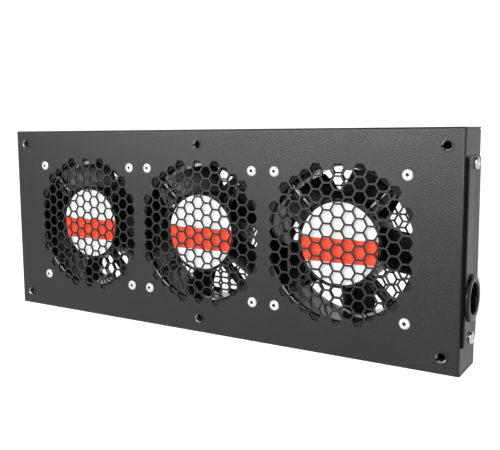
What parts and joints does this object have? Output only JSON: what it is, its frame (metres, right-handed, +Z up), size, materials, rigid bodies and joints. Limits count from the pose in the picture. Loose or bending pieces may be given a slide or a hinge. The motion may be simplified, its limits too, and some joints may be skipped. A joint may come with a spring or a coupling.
{
  "type": "rack fan tray",
  "caption": "Folded steel rack fan tray with honeycomb grilles, axial fans riveted behind them, threaded mounting inserts and a grommeted cable entry in its end plate.",
  "frame": {"origin": "centre of the front face, which is the middle fan's axis and the centre of the six mounting holes", "axes": "+X along the tray towards the end plate with the cable entry, +Y in through the front face towards the rear cover, +Z up with the tray standing on its long lower wall"},
  "size_m": [0.4369, 0.0429, 0.17],
  "materials": {
    "powder_coated_steel": "fine-textured black powder coat on folded steel sheet",
    "zinc_plated_steel": "bright zinc plating",
    "rivet_aluminium": "bright drawn aluminium",
    "grommet_rubber": "moulded black rubber",
    "fan_die_casting": "black painted die casting",
    "impeller_plastic": "glossy black moulded plastic",
    "label_film": "printed white film with one plain red band",
    "bearing_steel": "ground bearing steel",
    "motor_steel": "stacked laminations",
    "winding_copper": "enamelled copper wire",
    "wiring_plastic": "black sleeving and moulded plugs",
    "terminal_plastic": "moulded natural plastic"
  },
  "bodies": {
    "tray": {"front_tray": "powder_coated_steel", "rear_cover": "powder_coated_steel", "cover_screws": "zinc_plated_steel", "fan_rivets": "rivet_aluminium", "mounting_inserts": "zinc_plated_steel", "end_plate": "powder_coated_steel", "end_plate_screws": "zinc_plated_steel", "grommet": "grommet_rubber", "fan_frame_left": "fan_die_casting", "fan_frame_middle": "fan_die_casting", "fan_frame_right": "fan_die_casting", "fan_labels": "label_film", "motor_bearings": "bearing_steel", "stator_cores": "motor_steel", "stator_windings": "winding_copper", "fan_plugs": "wiring_plastic", "fan_lead_left": "wiring_plastic", "fan_lead_middle": "wiring_plastic", "fan_lead_right": "wiring_plastic", "lead_clips": "terminal_plastic", "terminal_block": "terminal_plastic", "terminal_stud": "zinc_plated_steel", "terminal_nut": "zinc_plated_steel"},
    "left_impeller": {"impeller_left": "impeller_plastic", "rotor_ring_left": "motor_steel", "shaft_left": "bearing_steel", "shaft_clip_left": "zinc_plated_steel"},
    "middle_impeller": {"impeller_middle": "impeller_plastic", "rotor_ring_middle": "motor_steel", "shaft_middle": "bearing_steel", "shaft_clip_middle": "zinc_plated_steel"},
    "right_impeller": {"impeller_right": "impeller_plastic", "rotor_ring_right": "motor_steel", "shaft_right": "bearing_steel", "shaft_clip_right": "zinc_plated_steel"}
  },
  "joints": [
    {"name": "left_fan_spin", "type": "hinge", "parent": "tray", "child": "left_impeller", "pos_m": [-0.125, 0.02, 0], "axis": [0, 1, 0], "continuous": true},
    {"name": "middle_fan_spin", "type": "hinge", "parent": "tray", "child": "middle_impeller", "pos_m": [0, 0.02, 0], "axis": [0, 1, 0], "continuous": true},
    {"name": "right_fan_spin", "type": "hinge", "parent": "tray", "child": "right_impeller", "pos_m": [0.125, 0.02, 0], "axis": [0, 1, 0], "continuous": true}
  ]
}
